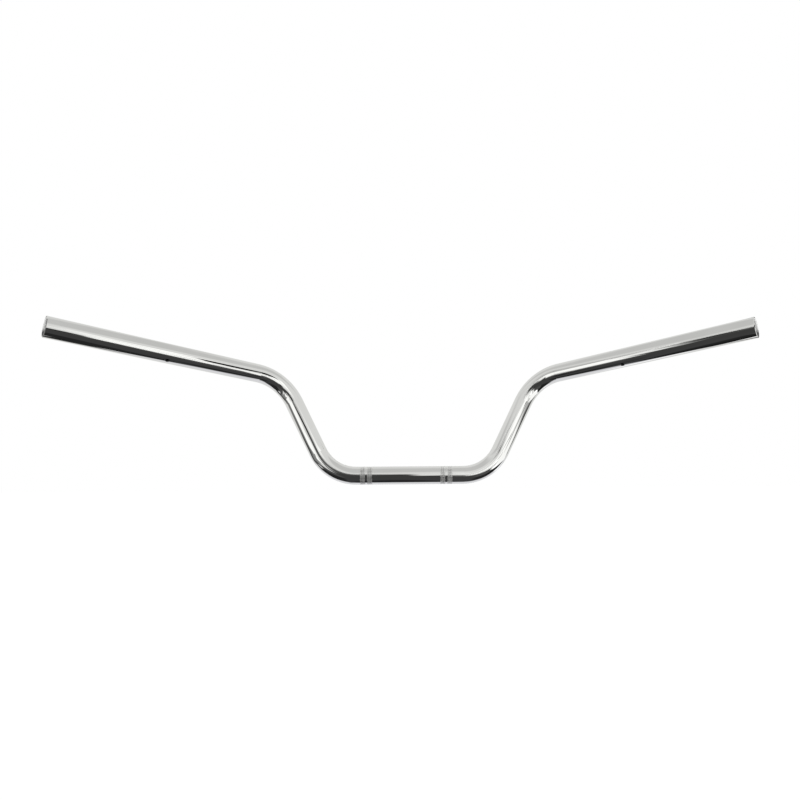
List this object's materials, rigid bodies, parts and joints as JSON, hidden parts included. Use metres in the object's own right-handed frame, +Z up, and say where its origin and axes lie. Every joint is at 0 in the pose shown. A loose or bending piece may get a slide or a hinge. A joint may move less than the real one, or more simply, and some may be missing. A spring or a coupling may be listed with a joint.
{
  "type": "motorcycle handlebar",
  "caption": "Bent chromed steel tube handlebar with a straight clamp section, knurled bands, leaning risers and swept-back grip sections.",
  "frame": {"origin": "on the tube's axis, in the middle of the clamp section", "axes": "+X along the clamp section to the rider's right, +Y forward, away from the rider, +Z up along the risers' height"},
  "size_m": [0.7274, 0.1785, 0.178],
  "materials": {
    "chrome": "bright chrome plate, polished"
  },
  "bodies": {
    "root": {"handlebar": "chrome"}
  },
  "joints": []
}
